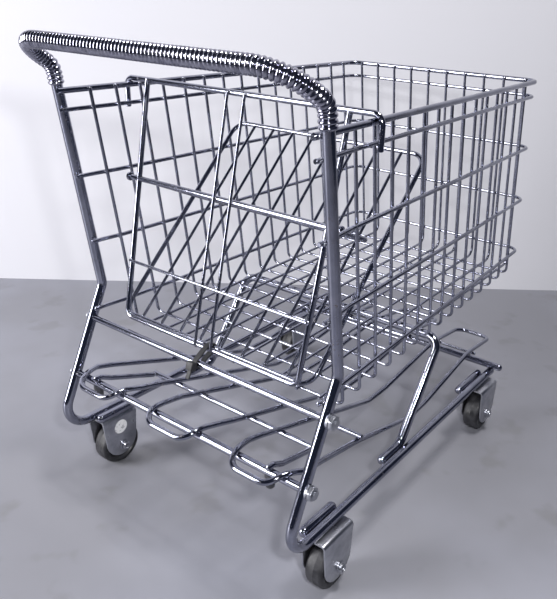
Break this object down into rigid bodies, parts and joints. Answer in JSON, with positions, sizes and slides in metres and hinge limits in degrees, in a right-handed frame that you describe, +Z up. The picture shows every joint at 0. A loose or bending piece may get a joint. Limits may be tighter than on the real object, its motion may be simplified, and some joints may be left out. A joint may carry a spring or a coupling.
{
  "type": "miniature wire shopping cart",
  "caption": "Small wire shopping cart with a bent-tube frame, ribbed handle, tapering basket, folding child seat, wire tray and fixed rolling casters.",
  "frame": {"origin": "on the ground under the middle of the whole cart", "axes": "+X towards the front of the cart, +Y to its left, +Z up"},
  "size_m": [0.3206, 0.2024, 0.2818],
  "materials": {
    "chrome_wire": "bright plated wire and tube with faint dull spots",
    "plated_steel": "duller plated pressings and nuts",
    "grip_sleeve": "ribbed bright sleeve",
    "black_rubber": "satin black",
    "black_nylon": "satin black"
  },
  "bodies": {
    "cart": {"frame_tube": "chrome_wire", "handle_grip": "grip_sleeve", "rear_cross_rod": "chrome_wire", "tray_rear_tube": "chrome_wire", "front_cross_tube": "chrome_wire", "basket_strut": "chrome_wire", "rod_nut_left": "plated_steel", "rod_nut_right": "plated_steel", "tray_nut_left": "plated_steel", "tray_nut_right": "plated_steel", "caster_bracket_rear_left": "plated_steel", "caster_bracket_rear_right": "plated_steel", "caster_bracket_front_left": "plated_steel", "caster_bracket_front_right": "plated_steel", "basket_rim": "chrome_wire", "basket_hoop_1": "chrome_wire", "basket_hoop_2": "chrome_wire", "basket_hoop_3": "chrome_wire", "basket_hoop_4": "chrome_wire", "basket_rib_01": "chrome_wire", "basket_rib_02": "chrome_wire", "basket_rib_03": "chrome_wire", "basket_rib_04": "chrome_wire", "basket_rib_05": "chrome_wire", "basket_rib_06": "chrome_wire", "basket_rib_07": "chrome_wire", "basket_rib_08": "chrome_wire", "basket_rib_09": "chrome_wire", "basket_rib_10": "chrome_wire", "basket_rib_11": "chrome_wire", "basket_rib_12": "chrome_wire", "basket_rib_13": "chrome_wire", "basket_rib_14": "chrome_wire", "basket_rib_15": "chrome_wire", "floor_wire_01": "chrome_wire", "floor_wire_02": "chrome_wire", "floor_wire_03": "chrome_wire", "floor_wire_04": "chrome_wire", "floor_wire_05": "chrome_wire", "floor_wire_06": "chrome_wire", "floor_wire_07": "chrome_wire", "floor_wire_08": "chrome_wire", "floor_wire_09": "chrome_wire", "floor_wire_10": "chrome_wire", "rear_gate": "chrome_wire", "gate_tie": "black_nylon", "tray_loop_centre": "chrome_wire", "tray_loop_left": "chrome_wire", "tray_loop_right": "chrome_wire", "tray_rod_rear": "chrome_wire", "tray_rod_middle": "chrome_wire", "tray_rod_front": "chrome_wire", "tray_side_rod_left": "chrome_wire", "tray_side_rod_right": "chrome_wire"},
    "seat_back": {"seat_back": "chrome_wire"},
    "seat_flap": {"seat_flap": "chrome_wire"},
    "wheel_rear_left": {"wheel_rear_left": "black_rubber"},
    "wheel_rear_right": {"wheel_rear_right": "black_rubber"},
    "wheel_front_left": {"wheel_front_left": "black_rubber"},
    "wheel_front_right": {"wheel_front_right": "black_rubber"}
  },
  "joints": [
    {"name": "seat_back_fold", "type": "hinge", "parent": "cart", "child": "seat_back", "pos_m": [-0.11259, 0, 0.118], "axis": [0, -1, 0], "range_deg": [0, 19]},
    {"name": "seat_flap_fold", "type": "hinge", "parent": "cart", "child": "seat_flap", "pos_m": [-0.09875, 0, 0.2], "axis": [0, -1, 0], "range_deg": [0, 95]},
    {"name": "wheel_roll_rear_left", "type": "hinge", "parent": "cart", "child": "wheel_rear_left", "pos_m": [-0.11354, 0.09, 0.0145], "axis": [0, 1, 0], "continuous": true},
    {"name": "wheel_roll_rear_right", "type": "hinge", "parent": "cart", "child": "wheel_rear_right", "pos_m": [-0.11354, -0.09, 0.0145], "axis": [0, 1, 0], "continuous": true},
    {"name": "wheel_roll_front_left", "type": "hinge", "parent": "cart", "child": "wheel_front_left", "pos_m": [0.08696, 0.09, 0.0145], "axis": [0, 1, 0], "continuous": true},
    {"name": "wheel_roll_front_right", "type": "hinge", "parent": "cart", "child": "wheel_front_right", "pos_m": [0.08696, -0.09, 0.0145], "axis": [0, 1, 0], "continuous": true}
  ],
  "couplings": [
    {"joint": "seat_flap_fold", "follows": "seat_back_fold", "ratio": 5}
  ]
}
